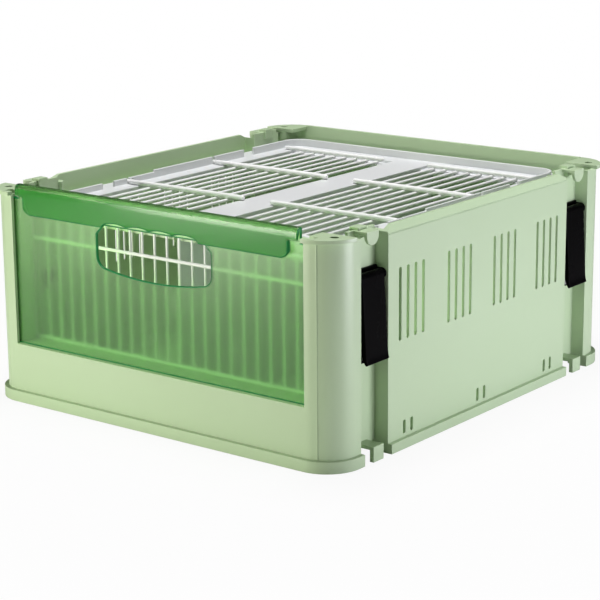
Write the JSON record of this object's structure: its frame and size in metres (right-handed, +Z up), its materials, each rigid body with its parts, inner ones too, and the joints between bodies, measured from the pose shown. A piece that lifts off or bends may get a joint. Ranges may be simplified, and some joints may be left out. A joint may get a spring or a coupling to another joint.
{
  "type": "pet carrier",
  "caption": "Low knock-down pet carrier with slotted sides, a lift-up clear door with hand hole, a wire door behind it, a wire-topped lid and swing-lever corner latches.",
  "frame": {"origin": "middle of the footprint, on the surface that the carrier stands on", "axes": "+Z up, -Y out of the front door, +X to the right seen from the front"},
  "size_m": [0.386, 0.432, 0.196],
  "materials": {
    "shell_green": "satin moulded",
    "floor_green": "satin moulded",
    "divider_white": "satin moulded",
    "lid_white": "satin moulded",
    "wire_white": "gloss coated",
    "door_green": "clear tinted",
    "latch_black": "gloss",
    "pin_steel": "plain"
  },
  "bodies": {
    "carrier_body": {"front_frame": "shell_green", "back_frame": "shell_green", "right_side_panel": "shell_green", "left_side_panel": "shell_green", "floor_panel": "floor_green", "center_divider": "divider_white", "lid_frame": "lid_white", "latch_bracket_front_right": "latch_black", "latch_pin_front_right": "pin_steel", "latch_screws_front_right": "pin_steel", "latch_bracket_front_left": "latch_black", "latch_pin_front_left": "pin_steel", "latch_screws_front_left": "pin_steel", "latch_bracket_back_right": "latch_black", "latch_pin_back_right": "pin_steel", "latch_screws_back_right": "pin_steel", "latch_bracket_back_left": "latch_black", "latch_pin_back_left": "pin_steel", "latch_screws_back_left": "pin_steel"},
    "front_door": {"front_door": "door_green"},
    "wire_door": {"wire_door": "wire_white"},
    "lid_wires_right": {"lid_wires_right": "wire_white"},
    "lid_wires_left": {"lid_wires_left": "wire_white"},
    "lever_front_right": {"latch_lever_front_right": "latch_black"},
    "lever_front_left": {"latch_lever_front_left": "latch_black"},
    "lever_back_right": {"latch_lever_back_right": "latch_black"},
    "lever_back_left": {"latch_lever_back_left": "latch_black"}
  },
  "joints": [
    {"name": "front_door_lift", "type": "slide", "parent": "carrier_body", "child": "front_door", "axis": [0, 0, 1], "range_m": [0, 0.12]},
    {"name": "wire_door_lift", "type": "slide", "parent": "carrier_body", "child": "wire_door", "axis": [0, 0, 1], "range_m": [0, 0.12]},
    {"name": "lid_wires_right_lock", "type": "slide", "parent": "carrier_body", "child": "lid_wires_right", "axis": [0, 1, 0], "range_m": [0, 0.005]},
    {"name": "lid_wires_left_lock", "type": "slide", "parent": "carrier_body", "child": "lid_wires_left", "axis": [0, 1, 0], "range_m": [0, 0.005]},
    {"name": "lever_front_right_swing", "type": "hinge", "parent": "carrier_body", "child": "lever_front_right", "pos_m": [0.1832, -0.15765, 0.151], "axis": [0, -1, 0], "range_deg": [0, 80]},
    {"name": "lever_front_left_swing", "type": "hinge", "parent": "carrier_body", "child": "lever_front_left", "pos_m": [-0.1832, -0.15765, 0.151], "axis": [0, 1, 0], "range_deg": [0, 80]},
    {"name": "lever_back_right_swing", "type": "hinge", "parent": "carrier_body", "child": "lever_back_right", "pos_m": [0.1832, 0.15765, 0.151], "axis": [0, -1, 0], "range_deg": [0, 80]},
    {"name": "lever_back_left_swing", "type": "hinge", "parent": "carrier_body", "child": "lever_back_left", "pos_m": [-0.1832, 0.15765, 0.151], "axis": [0, 1, 0], "range_deg": [0, 80]}
  ]
}
